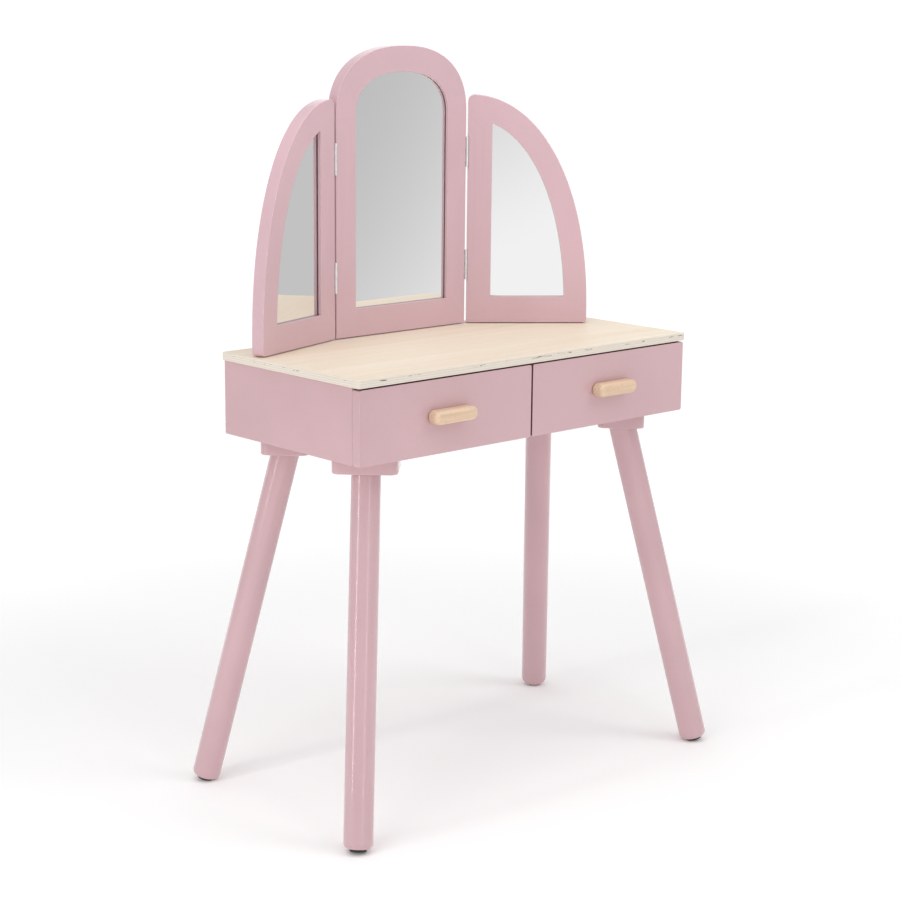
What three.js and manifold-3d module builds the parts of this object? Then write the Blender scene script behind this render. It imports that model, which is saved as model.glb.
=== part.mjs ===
// A child's dressing table: a plywood top with three hinged mirror frames standing on it, a shallow
// case with two drawers below it, and four round legs that splay out along the diagonals.
// Millimetres, +Z up. The front faces -Y and the feet stand on z = 0, centred on the origin.

import * as THREE from "three";
import { mergeVertices } from "three/addons/utils/BufferGeometryUtils.js";
import Module from "manifold-3d";

const wasm = await Module();
wasm.setup();

// Clearance left between pieces that are glued, screwed or resting against each other.
const GAP = 0.3;

// Tabletop and case
const TOP_WIDTH = 500;
const TOP_DEPTH = 237.5;
const TOP_THICKNESS = 9;
const TOP_Z = 503;
const TOP_CORNER = 3;
const BOARD = 9;
const CASE_HALF_WIDTH = 248;
const CASE_FRONT = -105.45;
const CASE_BACK = 116;
const CASE_FLOOR = TOP_Z - 92;
const CASE_CEILING = TOP_Z - TOP_THICKNESS - GAP;

// Drawers
const FRONT_THICKNESS = 12;
const FRONT_SPLIT = 2.5;
const FRONT_TOP = TOP_Z - 10.8;
const FRONT_CORNER = 2.5;
const DRAWER_BOARD = 9;
const DRAWER_SIDE_PLAY = 1.5;
const DRAWER_LENGTH = 200;
const DRAWER_WALL_TOP = TOP_Z - 26;
const DRAWER_BOTTOM_THICKNESS = 3;
const DRAWER_BOTTOM_LIFT = 3.4;

// Handles and the screw that holds each one
const HANDLE_LENGTH = 60;
const HANDLE_HEIGHT = 15;
const HANDLE_DEPTH = 16;
const HANDLE_ROUND = 5;
const HANDLE_Z = TOP_Z - 50.3;
const HANDLE_SCREW_RADIUS = 2;
const HANDLE_SCREW_IN_WOOD = 10;
const HANDLE_SCREW_HEAD_RADIUS = 4;
const HANDLE_SCREW_HEAD = 2.4;

// Legs, the blocks above them and the glides below
const LEG_RADIUS = 16;
const LEG_SPLAY = THREE.MathUtils.degToRad(14);
const LEG_LEAN = Math.tan(LEG_SPLAY);
const LEG_FOOT_ROUND = 6.5;
const FOOT_X = 268;
const FOOT_Y = 138.9;
const PAD_LENGTH = 71;
const PAD_WIDTH = 54;
const PAD_THICKNESS = 17;
const PAD_CORNER = 9;
const PAD_TOP = CASE_FLOOR - GAP;
const PAD_UNDERSIDE = PAD_TOP - PAD_THICKNESS;
const GLIDE_RADIUS = 9.3;
const GLIDE_THICKNESS = 2.2;
const GLIDE_WEAR = 0.8;
const GLIDE_NAIL_RADIUS = 1;
const GLIDE_NAIL_LENGTH = 9;
const LEG_BOLT_RADIUS = 3.5;
const LEG_BOLT_IN_LEG = 34;
const LEG_BOLT_TOP = CASE_FLOOR + 5.5;

// Mirror frames. Each is one board with a front lip and a rebate cut from the back.
const MIRROR_FLOOR = TOP_Z + 1;
const FRAME_THICKNESS = 15;
const FRAME_FRONT = 101;
const LIP = 4;
const REBATE = 6;
const PANE_THICKNESS = 3;
const BACKER_THICKNESS = 4;
const CENTRE_HALF_WIDTH = 99.8;
const CENTRE_SPRING_Z = TOP_Z + 252.3;
const CENTRE_RISE = 78.5;
const CENTRE_POWER = 2.35;
const CENTRE_BORDER = 29.3;
const CENTRE_SILL_Z = TOP_Z + 33.5;
const WING_LENGTH = 145.5;
const WING_SPRING_Z = TOP_Z + 10.4;
const WING_RISE = 263;
const WING_POWER = 2.15;
const WING_TOP_CORNER = 8;
const WING_FOOT_CORNER = 3;
const WING_BORDER = 27;
const WING_STILE = 29;
const WING_SILL_Z = TOP_Z + 32.5;
const LEFT_FOLD = THREE.MathUtils.degToRad(18.3);
const RIGHT_FOLD = THREE.MathUtils.degToRad(39.8);
const CURVE_STEPS = 18;

// Butt hinges. Their leaves lie on the edges of the frames, with the knuckles at the front.
const HINGE_CENTRES = [TOP_Z + 71.5, TOP_Z + 206];
const HINGE_LENGTH = 36;
const HINGE_AXIS_X = CENTRE_HALF_WIDTH + 1;
const HINGE_AXIS_Y = FRAME_FRONT - 0.6;
const KNUCKLES = 5;
const KNUCKLE_RADIUS = 1.75;
const KNUCKLE_BORE = 0.95;
const KNUCKLE_GAP = 0.2;
const HINGE_PIN_RADIUS = 0.7;
const LEAF_THICKNESS = 0.9;
const LEAF_DEPTH = 11.5;
const LEAF_SETBACK = 0.9;
const LEAF_RELIEF = 2.05;
const MORTISE_DEPTH = 1;
const MORTISE_PLAY = 0.3;
const MORTISE_MOUTH = 3;

// Screws that hold the centre frame down, driven up through the tabletop
const FRAME_SCREW_X = 62;
const FRAME_SCREW_RADIUS = 2;
const FRAME_SCREW_IN_FRAME = 24;
const FRAME_SCREW_HEAD_RADIUS = 4.5;
const FRAME_SCREW_HEAD = 3;

const HALF_TURN = Math.PI;
const QUARTER_TURN = Math.PI / 2;
const ROUND_SIDES = 24;
const SMALL_SIDES = 12;

const paint = new THREE.MeshStandardMaterial({ color: 0xd3adb4, roughness: 0.55, metalness: 0 });
const plywood = new THREE.MeshStandardMaterial({ color: 0xefe4ce, roughness: 0.6, metalness: 0 });
const beech = new THREE.MeshStandardMaterial({ color: 0xe0c3a0, roughness: 0.55, metalness: 0 });
const hardboard = new THREE.MeshStandardMaterial({ color: 0xb79b78, roughness: 0.8, metalness: 0 });
const mirror = new THREE.MeshStandardMaterial({ color: 0xd8dad9, roughness: 0.03, metalness: 1 });
const steel = new THREE.MeshStandardMaterial({ color: 0xc9c9c6, roughness: 0.3, metalness: 1 });
const glide = new THREE.MeshStandardMaterial({ color: 0x1e1e20, roughness: 0.5, metalness: 0 });

const table = new THREE.Group();

// ---------- Solids ----------

function solid(geometry) {
  const bare = geometry.clone();
  bare.deleteAttribute("normal");
  bare.deleteAttribute("uv");
  const merged = mergeVertices(bare, 1e-4);
  const vertProperties = new Float32Array(merged.attributes.position.array);
  const triVerts = new Uint32Array(merged.index.array);
  return new wasm.Manifold(new wasm.Mesh({ numProp: 3, vertProperties, triVerts }));
}

function geometryOf(made) {
  const mesh = made.getMesh();
  const geometry = new THREE.BufferGeometry();
  geometry.setAttribute("position", new THREE.BufferAttribute(mesh.vertProperties, 3));
  geometry.setIndex(new THREE.BufferAttribute(mesh.triVerts, 1));
  const flat = geometry.toNonIndexed();
  flat.computeVertexNormals();
  return flat;
}

function cut(geometry, ...tools) {
  return geometryOf(tools.reduce((left, tool) => left.subtract(solid(tool)), solid(geometry)));
}

function join(geometry, ...others) {
  return geometryOf(others.reduce((sum, other) => sum.add(solid(other)), solid(geometry)));
}

function block(x0, x1, y0, y1, z0, z1) {
  const box = new THREE.BoxGeometry(Math.abs(x1 - x0), Math.abs(y1 - y0), Math.abs(z1 - z0));
  return box.translate((x0 + x1) / 2, (y0 + y1) / 2, (z0 + z1) / 2);
}

// An upright round bar on the Z axis.
function rod(radius, z0, z1, sides = SMALL_SIDES) {
  const bar = new THREE.CylinderGeometry(radius, radius, z1 - z0, sides);
  return bar.rotateX(QUARTER_TURN).translate(0, 0, (z0 + z1) / 2);
}

function roundedRectangle(width, height, radius) {
  const x = width / 2;
  const y = height / 2;
  const shape = new THREE.Shape();
  shape.moveTo(-x + radius, -y);
  shape.absarc(x - radius, -y + radius, radius, -QUARTER_TURN, 0, false);
  shape.absarc(x - radius, y - radius, radius, 0, QUARTER_TURN, false);
  shape.absarc(-x + radius, y - radius, radius, QUARTER_TURN, HALF_TURN, false);
  shape.absarc(-x + radius, -y + radius, radius, HALF_TURN, 3 * QUARTER_TURN, false);
  return shape;
}

function extrude(shape, depth, curveSegments = 5) {
  return new THREE.ExtrudeGeometry(shape, { depth, bevelEnabled: false, curveSegments });
}

// A shape drawn in X and Z, standing up, from y = front to y = front + depth.
function upright(shape, front, depth, curveSegments) {
  return extrude(shape, depth, curveSegments).rotateX(QUARTER_TURN).translate(0, front + depth, 0);
}

function place(parent, name, geometry, material, x = 0, y = 0, z = 0) {
  const mesh = new THREE.Mesh(geometry, material);
  mesh.name = name;
  mesh.position.set(x, y, z);
  parent.add(mesh);
  return mesh;
}

// ---------- Tabletop and case ----------

function addTabletop() {
  const board = extrude(roundedRectangle(TOP_WIDTH, TOP_DEPTH, TOP_CORNER), TOP_THICKNESS);
  const y = FRAME_FRONT + FRAME_THICKNESS / 2;
  const holes = [-1, 1].flatMap((side) => [
    rod(FRAME_SCREW_RADIUS + GAP, -1, TOP_THICKNESS + 1).translate(side * FRAME_SCREW_X, y, 0),
    rod(FRAME_SCREW_HEAD_RADIUS + GAP, -1, FRAME_SCREW_HEAD + 2 * GAP)
      .translate(side * FRAME_SCREW_X, y, 0),
  ]);
  place(table, "tabletop", cut(board, ...holes), plywood, 0, 0, TOP_Z - TOP_THICKNESS);
}

function addCase() {
  const inside = CASE_HALF_WIDTH - BOARD;
  const backFace = CASE_BACK - BOARD;
  const side = block(0, BOARD, CASE_FRONT, CASE_BACK, CASE_FLOOR, CASE_CEILING);
  place(table, "left_side_panel", side, paint, -CASE_HALF_WIDTH);
  place(table, "right_side_panel", side, paint, inside);
  const within = inside - GAP;
  const back = block(-within, within, backFace, CASE_BACK, CASE_FLOOR, CASE_CEILING);
  place(table, "back_panel", back, paint);
  const bottom = block(
    -within, within, CASE_FRONT, backFace - GAP, CASE_FLOOR, CASE_FLOOR + BOARD,
  );
  const boltHoles = corners().map((corner) => {
    const top = alongLeg(LEG_BOLT_TOP) + 2 * GAP;
    const hole = lean(rod(LEG_BOLT_RADIUS + GAP, top - 2 * BOARD, top));
    return hole.rotateZ(corner.angle).translate(corner.x, corner.y, 0);
  });
  place(table, "case_bottom", cut(bottom, ...boltHoles), paint);
  const divider = block(
    -BOARD / 2, BOARD / 2, CASE_FRONT, backFace - GAP, CASE_FLOOR + BOARD + GAP, CASE_CEILING,
  );
  place(table, "centre_divider", divider, paint);
}

// ---------- Legs ----------

// The four corners, with the direction in which each leg's foot points outwards.
function corners() {
  const list = [];
  for (const [end, sy] of [["front", -1], ["back", 1]]) {
    for (const [hand, sx] of [["left", -1], ["right", 1]]) {
      const angle = Math.atan2(sy, sx);
      list.push({ name: `${end}_${hand}`, x: sx * FOOT_X, y: sy * FOOT_Y, angle });
    }
  }
  return list;
}

// Tips a piece made on the Z axis onto a leg's axis. Local +X points outwards from the table, and the
// axis meets the floor at the origin.
function lean(geometry) {
  return geometry.rotateY(-LEG_SPLAY);
}

// The distance along a leg's axis at which it is z above the floor.
function alongLeg(z) {
  return z / Math.cos(LEG_SPLAY);
}

// A round bar from a distance along the axis upwards, with the rim of its square-cut foot rounded off.
function legBar(start, end) {
  const flat = LEG_RADIUS - LEG_FOOT_ROUND;
  const path = new THREE.Path();
  path.moveTo(0, start);
  path.lineTo(flat, start);
  path.absarc(flat, start + LEG_FOOT_ROUND, LEG_FOOT_ROUND, -QUARTER_TURN, 0, false);
  path.lineTo(LEG_RADIUS, end);
  path.lineTo(0, end);
  return new THREE.LatheGeometry(path.getPoints(4), ROUND_SIDES).rotateX(QUARTER_TURN);
}

function addLeg(corner) {
  const group = new THREE.Group();
  group.position.set(corner.x, corner.y, 0);
  group.rotation.z = corner.angle;
  table.add(group);

  // The disc is square to the leg, so only its outer rim bears on the floor, worn to a small level flat.
  const glideStart = GLIDE_RADIUS * LEG_LEAN - GLIDE_WEAR;
  const glideEnd = glideStart + GLIDE_THICKNESS;
  const nailEnd = glideEnd + GLIDE_NAIL_LENGTH;
  const legTop = PAD_UNDERSIDE - GAP;
  const boltStart = alongLeg(legTop) - LEG_BOLT_IN_LEG;
  const boltHole = lean(rod(LEG_BOLT_RADIUS + GAP, boltStart - 2 * GAP, alongLeg(CASE_FLOOR + BOARD)));
  const nailHole = lean(rod(GLIDE_NAIL_RADIUS + GAP, glideStart, nailEnd + GAP));
  const reach = TOP_Z;
  const above = block(-reach, reach, -reach, reach, legTop, legTop + reach);
  const below = block(-reach, reach, -reach, reach, -reach, 0);
  const bar = lean(legBar(glideEnd + GAP, alongLeg(legTop) + LEG_RADIUS));
  place(group, `leg_${corner.name}`, cut(bar, above, boltHole, nailHole), paint);

  const pad = extrude(roundedRectangle(PAD_WIDTH, PAD_LENGTH, PAD_CORNER), PAD_THICKNESS);
  pad.translate(-LEG_LEAN * (PAD_UNDERSIDE + PAD_THICKNESS / 2), 0, PAD_UNDERSIDE);
  place(group, `leg_pad_${corner.name}`, cut(pad, boltHole), paint);

  const disc = rod(GLIDE_RADIUS, glideStart, glideEnd, ROUND_SIDES);
  const nail = rod(GLIDE_NAIL_RADIUS, glideEnd - 1, nailEnd);
  const foot = cut(join(lean(disc), lean(nail)), below);
  place(group, `foot_glide_${corner.name}`, foot, glide);

  const bolt = lean(rod(LEG_BOLT_RADIUS, boltStart, alongLeg(LEG_BOLT_TOP)));
  place(group, `leg_bolt_${corner.name}`, bolt, steel);
}

// ---------- Drawers ----------

// A bar with all its outer edges rounded, flat against the drawer front at y = 0.
function handleBar() {
  const shape = roundedRectangle(
    HANDLE_LENGTH - 2 * HANDLE_ROUND, HANDLE_HEIGHT - 2 * HANDLE_ROUND, HANDLE_ROUND / 3,
  );
  const bevel = {
    bevelEnabled: true,
    bevelSize: HANDLE_ROUND,
    bevelThickness: HANDLE_ROUND,
    bevelSegments: 4,
    curveSegments: 3,
    depth: HANDLE_DEPTH - GAP,
  };
  const bar = new THREE.ExtrudeGeometry(shape, bevel).rotateX(QUARTER_TURN);
  bar.translate(0, HANDLE_ROUND, 0);
  const reach = HANDLE_LENGTH;
  return cut(bar, block(-reach, reach, 0, reach, -reach, reach));
}

function addHandle(group, hand) {
  const frontFace = CASE_FRONT - GAP - FRONT_THICKNESS;
  const backFace = frontFace - GAP;
  const pilot = screwShaft(HANDLE_SCREW_RADIUS + GAP, -HANDLE_SCREW_IN_WOOD - GAP, 10);
  place(group, `${hand}_handle`, cut(handleBar(), pilot), beech, 0, backFace, HANDLE_Z);

  const headFace = FRONT_THICKNESS + 2 * GAP;
  const shaft = screwShaft(HANDLE_SCREW_RADIUS, -HANDLE_SCREW_IN_WOOD, headFace + 1);
  const head = screwShaft(HANDLE_SCREW_HEAD_RADIUS, headFace, headFace + HANDLE_SCREW_HEAD);
  const name = `${hand}_handle_screw`;
  place(group, name, join(head, shaft), steel, 0, backFace, HANDLE_Z);
}

// A round bar along Y.
function screwShaft(radius, y0, y1) {
  return rod(radius, -y1, -y0).rotateX(QUARTER_TURN);
}

function addDrawer(hand, side) {
  const group = new THREE.Group();
  table.add(group);
  const width = CASE_HALF_WIDTH - FRONT_SPLIT / 2;
  const centre = side * (CASE_HALF_WIDTH + FRONT_SPLIT / 2) / 2;
  const height = FRONT_TOP - CASE_FLOOR;
  const backFace = CASE_FRONT - GAP;

  const face = new THREE.Group();
  face.position.x = centre;
  group.add(face);
  const board = upright(roundedRectangle(width, height, FRONT_CORNER), 0, FRONT_THICKNESS, 4);
  const pilot = screwShaft(HANDLE_SCREW_RADIUS + GAP, -1, FRONT_THICKNESS + 1);
  const frontZ = (FRONT_TOP + CASE_FLOOR) / 2;
  pilot.translate(0, 0, HANDLE_Z - frontZ);
  const frontY = backFace - FRONT_THICKNESS;
  place(face, `${hand}_drawer_front`, cut(board, pilot), paint, 0, frontY, frontZ);
  addHandle(face, hand);
  addDrawerBox(group, hand, side);
}

function addDrawerBox(group, hand, side) {
  const bayWidth = CASE_HALF_WIDTH - BOARD - BOARD / 2;
  const half = bayWidth / 2 - DRAWER_SIDE_PLAY;
  const centre = side * (BOARD / 2 + bayWidth / 2);
  const underside = CASE_FLOOR + BOARD + 2 * GAP;
  const rear = CASE_FRONT + DRAWER_LENGTH;
  const wall = block(0, DRAWER_BOARD, CASE_FRONT, rear, underside, DRAWER_WALL_TOP);
  place(group, `${hand}_drawer_left_side`, wall, plywood, centre - half);
  place(group, `${hand}_drawer_right_side`, wall, plywood, centre + half - DRAWER_BOARD);
  const within = half - DRAWER_BOARD - GAP;
  const back = block(-within, within, rear - DRAWER_BOARD, rear, underside, DRAWER_WALL_TOP);
  place(group, `${hand}_drawer_back`, back, plywood, centre);
  const floor = underside + DRAWER_BOTTOM_LIFT;
  const bottom = block(
    -within, within, CASE_FRONT, rear - DRAWER_BOARD - GAP, floor, floor + DRAWER_BOTTOM_THICKNESS,
  );
  place(group, `${hand}_drawer_bottom`, bottom, plywood, centre);
}

// ---------- Mirror frames ----------

// One quarter of a superellipse about (0, z), from its side round to its top.
function quarterArch(halfWidth, rise, z, power) {
  const points = [];
  for (let i = 0; i <= CURVE_STEPS; i++) {
    const turn = (QUARTER_TURN * i) / CURVE_STEPS;
    const x = halfWidth * Math.cos(turn) ** (2 / power);
    const up = z + rise * Math.sin(turn) ** (2 / power);
    points.push(new THREE.Vector2(x, up));
  }
  return points;
}

// The centre frame's outline, drawn in by an inset, on a level base.
function centreOutline(inset, base) {
  const right = quarterArch(
    CENTRE_HALF_WIDTH - inset, CENTRE_RISE - inset, CENTRE_SPRING_Z, CENTRE_POWER,
  );
  const left = right.slice(0, -1).reverse().map((p) => new THREE.Vector2(-p.x, p.y));
  const feet = [new THREE.Vector2(left.at(-1).x, base), new THREE.Vector2(right[0].x, base)];
  return new THREE.Shape([...feet, ...right, ...left]);
}

// A quarter circle about (x, y) as four points, starting at an angle and turning anticlockwise.
function arc(x, y, radius, start) {
  return [0, 1, 2, 3].map((i) => {
    const turn = start + (QUARTER_TURN * i) / 3;
    return new THREE.Vector2(x + radius * Math.cos(turn), y + radius * Math.sin(turn));
  });
}

// A wing's outer outline, with u measured from its hinged edge.
function wingOutline() {
  const curve = quarterArch(WING_LENGTH, WING_RISE, WING_SPRING_Z, WING_POWER);
  const beyond = curve.filter((p) => p.x > WING_TOP_CORNER);
  const crown = heightAt(curve, WING_TOP_CORNER) - WING_TOP_CORNER;
  const corner = arc(WING_TOP_CORNER, crown, WING_TOP_CORNER, QUARTER_TURN);
  const foot = arc(
    WING_LENGTH - WING_FOOT_CORNER, MIRROR_FLOOR + WING_FOOT_CORNER, WING_FOOT_CORNER, -QUARTER_TURN,
  );
  return [new THREE.Vector2(0, MIRROR_FLOOR), ...foot, ...beyond, ...corner];
}

// A wing's opening, let out all round by a margin.
function wingOpening(margin) {
  const curve = quarterArch(
    WING_LENGTH - WING_BORDER + margin,
    WING_RISE - WING_STILE + margin,
    WING_SPRING_Z,
    WING_POWER,
  );
  const stile = WING_STILE - margin;
  const sill = WING_SILL_Z - margin;
  const inside = curve.filter((p) => p.x > stile + 1 && p.y > sill + 1);
  const top = heightAt(curve, stile);
  const foot = curve[0].x;
  return [
    new THREE.Vector2(stile, sill), new THREE.Vector2(foot, sill),
    ...inside, new THREE.Vector2(stile, top),
  ];
}

// The height of a falling curve at a given x, between its neighbouring points.
function heightAt(curve, x) {
  const i = curve.findIndex((p) => p.x <= x);
  const share = (x - curve[i].x) / (curve[i - 1].x - curve[i].x);
  return THREE.MathUtils.lerp(curve[i].y, curve[i - 1].y, share);
}

// A board with an opening, its rebate and the mortises for the hinge leaves.
function frameBoard(outline, opening, rebate, front, mortises) {
  const board = upright(outline, front, FRAME_THICKNESS);
  const window = upright(opening, front - 1, FRAME_THICKNESS + 2);
  const seat = upright(rebate, front + LIP, FRAME_THICKNESS);
  return cut(board, window, seat, ...mortises);
}

// The pane and the backing board that lie in a frame's rebate.
function addFilling(group, name, outline, front) {
  const pane = upright(outline, front + LIP + GAP, PANE_THICKNESS);
  place(group, `${name}_pane`, pane, mirror);
  const backFront = front + LIP + 2 * GAP + PANE_THICKNESS;
  const backer = upright(outline, backFront, BACKER_THICKNESS);
  place(group, `${name}_backer`, backer, hardboard);
}

// Shallow recesses for the hinge leaves in an edge at x, open towards the given side and the front.
function mortisesAt(x, side) {
  return HINGE_CENTRES.map((z) => {
    const half = HINGE_LENGTH / 2 + MORTISE_PLAY;
    const front = FRAME_FRONT - MORTISE_MOUTH;
    const back = HINGE_AXIS_Y + LEAF_DEPTH + MORTISE_PLAY;
    return block(x, x + side * MORTISE_MOUTH, front, back, z - half, z + half);
  });
}

function addCentreMirror() {
  const edge = CENTRE_HALF_WIDTH - MORTISE_DEPTH;
  const mortises = [...mortisesAt(edge, 1), ...mortisesAt(-edge, -1)];
  const screwY = FRAME_FRONT + FRAME_THICKNESS / 2;
  const pilots = [-1, 1].map((side) => {
    const top = MIRROR_FLOOR + FRAME_SCREW_IN_FRAME + 2 * GAP;
    const pilot = rod(FRAME_SCREW_RADIUS + GAP, MIRROR_FLOOR - 1, top);
    return pilot.translate(side * FRAME_SCREW_X, screwY, 0);
  });
  const frame = frameBoard(
    centreOutline(0, MIRROR_FLOOR),
    centreOutline(CENTRE_BORDER, CENTRE_SILL_Z),
    centreOutline(CENTRE_BORDER - REBATE, CENTRE_SILL_Z - REBATE),
    FRAME_FRONT,
    [...mortises, ...pilots],
  );
  place(table, "centre_mirror_frame", frame, paint);
  const seat = centreOutline(CENTRE_BORDER - REBATE + GAP, CENTRE_SILL_Z - REBATE + GAP);
  addFilling(table, "centre_mirror", seat, FRAME_FRONT);
  for (const [hand, side] of [["left", -1], ["right", 1]]) {
    addFrameScrew(hand, side * FRAME_SCREW_X, screwY);
  }
}

function addFrameScrew(hand, x, y) {
  const headBottom = TOP_Z - TOP_THICKNESS + GAP;
  const headTop = headBottom + FRAME_SCREW_HEAD;
  const head = rod(FRAME_SCREW_HEAD_RADIUS, headBottom, headTop);
  const shaft = rod(FRAME_SCREW_RADIUS, headTop - 1, MIRROR_FLOOR + FRAME_SCREW_IN_FRAME);
  place(table, `mirror_screw_${hand}`, join(head, shaft), steel, x, y);
}

function addWing(hand, side, fold) {
  const group = new THREE.Group();
  group.position.set(side * HINGE_AXIS_X, HINGE_AXIS_Y, 0);
  group.rotation.z = -side * fold;
  table.add(group);
  const edge = HINGE_AXIS_X - CENTRE_HALF_WIDTH;
  const front = FRAME_FRONT - HINGE_AXIS_Y;
  const drawn = (points) => {
    return new THREE.Shape(points.map((p) => new THREE.Vector2(side * (p.x + edge), p.y)));
  };
  const mortises = mortisesAt(side * (edge + MORTISE_DEPTH), -side);
  mortises.forEach((mortise) => mortise.translate(0, -HINGE_AXIS_Y, 0));
  const frame = frameBoard(
    drawn(wingOutline()), drawn(wingOpening(0)), drawn(wingOpening(REBATE)), front, mortises,
  );
  place(group, `${hand}_wing_frame`, frame, paint);
  addFilling(group, `${hand}_wing`, drawn(wingOpening(REBATE - GAP)), front);
  for (const [level, z] of hingeLevels()) {
    place(group, `${hand}_${level}_hinge_wing_leaf`, hingeLeaf(side, 1), steel, 0, 0, z);
  }
}

// ---------- Hinges ----------

function hingeLevels() {
  return [["lower", HINGE_CENTRES[0]], ["upper", HINGE_CENTRES[1]]];
}

// A leaf beside the hinge axis. It carries every second knuckle, starting with the given one.
function hingeLeaf(side, firstKnuckle) {
  const half = HINGE_LENGTH / 2;
  const inner = side * LEAF_SETBACK;
  const outer = side * (LEAF_SETBACK + LEAF_THICKNESS);
  const pieces = [block(inner, outer, LEAF_RELIEF, LEAF_DEPTH, -half, half)];
  const pitch = HINGE_LENGTH / KNUCKLES;
  for (let i = firstKnuckle; i < KNUCKLES; i += 2) {
    const z0 = -half + i * pitch + KNUCKLE_GAP / 2;
    const z1 = z0 + pitch - KNUCKLE_GAP;
    pieces.push(rod(KNUCKLE_RADIUS, z0, z1));
    pieces.push(block(inner, outer, 0, LEAF_RELIEF + 1, z0, z1));
  }
  const leaf = join(...pieces);
  return cut(leaf, rod(KNUCKLE_BORE, -half - 1, half + 1));
}

function addFixedHinges(hand, side) {
  for (const [level, z] of hingeLevels()) {
    const name = `${hand}_${level}_hinge`;
    const x = side * HINGE_AXIS_X;
    place(table, `${name}_fixed_leaf`, hingeLeaf(-side, 0), steel, x, HINGE_AXIS_Y, z);
    const pin = rod(HINGE_PIN_RADIUS, -HINGE_LENGTH / 2, HINGE_LENGTH / 2);
    place(table, `${name}_pin`, pin, steel, x, HINGE_AXIS_Y, z);
  }
}

// ---------- Assembly ----------

addTabletop();
addCase();
corners().forEach(addLeg);
addDrawer("left", -1);
addDrawer("right", 1);
addCentreMirror();
addWing("left", -1, LEFT_FOLD);
addWing("right", 1, RIGHT_FOLD);
addFixedHinges("left", -1);
addFixedHinges("right", 1);

export default table;
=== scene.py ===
"""The looks of a child's dressing table with three hinged mirrors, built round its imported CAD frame.

Metres, +Z up, the front faces -Y. Each piece is made in place, in the row frame, and rides on a CAD body.
"""

import math
import bpy
import bmesh
from mathutils import Matrix, Vector


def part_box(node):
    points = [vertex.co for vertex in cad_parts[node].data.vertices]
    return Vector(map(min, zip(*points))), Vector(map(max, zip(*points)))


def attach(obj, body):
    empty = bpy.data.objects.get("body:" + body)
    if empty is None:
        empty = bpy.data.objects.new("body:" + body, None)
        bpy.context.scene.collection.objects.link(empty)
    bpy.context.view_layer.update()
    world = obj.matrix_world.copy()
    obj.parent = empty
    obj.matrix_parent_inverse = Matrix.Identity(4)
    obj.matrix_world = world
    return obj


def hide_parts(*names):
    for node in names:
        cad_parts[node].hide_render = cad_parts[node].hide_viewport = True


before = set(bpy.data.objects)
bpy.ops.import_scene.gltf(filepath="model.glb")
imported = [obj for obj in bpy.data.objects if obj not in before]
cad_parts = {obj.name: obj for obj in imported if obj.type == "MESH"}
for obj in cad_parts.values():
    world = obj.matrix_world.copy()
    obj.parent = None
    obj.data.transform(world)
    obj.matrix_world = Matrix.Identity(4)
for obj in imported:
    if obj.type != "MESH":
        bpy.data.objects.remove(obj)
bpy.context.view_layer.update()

MM = 0.001
GAP = 0.3 * MM

# Dimensions that a node's box doesn't give, because the piece leans or is turned.
LEG_RADIUS = 16 * MM
LEG_SPLAY = math.radians(14)
LEG_FOOT_ROUND = 6.5 * MM
FOOT_X, FOOT_Y = 268 * MM, 138.9 * MM
PAD_LENGTH, PAD_WIDTH, PAD_CORNER = 71 * MM, 54 * MM, 9 * MM
GLIDE_RADIUS, GLIDE_THICKNESS, GLIDE_WEAR = 9.3 * MM, 2.2 * MM, 0.8 * MM
GLIDE_EDGE = 0.5 * MM
GLIDE_NAIL_RADIUS, GLIDE_NAIL_LENGTH, GLIDE_NAIL_POINT = 1 * MM, 9 * MM, 2 * MM
PAD_EASE = 1.3 * MM
TOP_CORNER, TOP_EASE = 3 * MM, 0.6 * MM
CASE_EASE = 0.2 * MM
FRONT_CORNER, FRONT_EASE, FRONT_BACK_EASE = 2.5 * MM, 0.4 * MM, 0.2 * MM
DRAWER_EASE, DRAWER_BOTTOM_EASE = 0.6 * MM, 0.3 * MM
HANDLE_CORNER, HANDLE_ROUND, HANDLE_BACK_ROUND = 6.6 * MM, 4.8 * MM, 2.4 * MM
FRAME_FRONT, FRAME_THICKNESS = 101 * MM, 15 * MM
FRAME_ARRIS, FRAME_BACK_ARRIS = 0.7 * MM, 0.3 * MM
LIP, LIP_ARRIS, REBATE, PANE, BACKER = 4 * MM, 0.7 * MM, 6 * MM, 3 * MM, 4 * MM
PANE_EASE = 0.3 * MM
SILVER_DEPTH = 0.8 * MM  # how far a pane's reflecting face lies behind the CAD pane's front
CENTRE_HALF_WIDTH, CENTRE_RISE, CENTRE_POWER, CENTRE_BORDER = 99.8 * MM, 78.5 * MM, 2.35, 29.3 * MM
WING_LENGTH, WING_RISE, WING_POWER = 145.5 * MM, 263 * MM, 2.15
WING_TOP_CORNER, WING_FOOT_CORNER = 8 * MM, 3 * MM
WING_BORDER, WING_STILE, WING_OPENING_CORNER = 27 * MM, 29 * MM, 1.2 * MM
FOLD = {"left": math.radians(18.3), "right": math.radians(39.8)}
HINGE_AXIS_X, HINGE_AXIS_Y = 100.8 * MM, 100.4 * MM
HINGE_LENGTH, KNUCKLES, KNUCKLE_RADIUS, LEAF_THICKNESS = 36 * MM, 5, 1.75 * MM, 0.9 * MM
LEAF_DEPTH, LEAF_SETBACK, LEAF_RELIEF = 11.5 * MM, 0.9 * MM, 2.05 * MM
MORTISE_DEPTH, MORTISE_PLAY, MORTISE_REACH = 1 * MM, 0.3 * MM, 3 * MM
LEAF_SCREW_SPACING, LEAF_SCREW_Y, LEAF_MIDDLE_SCREW_Y = 12.5 * MM, 7.6 * MM, 5.6 * MM

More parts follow.
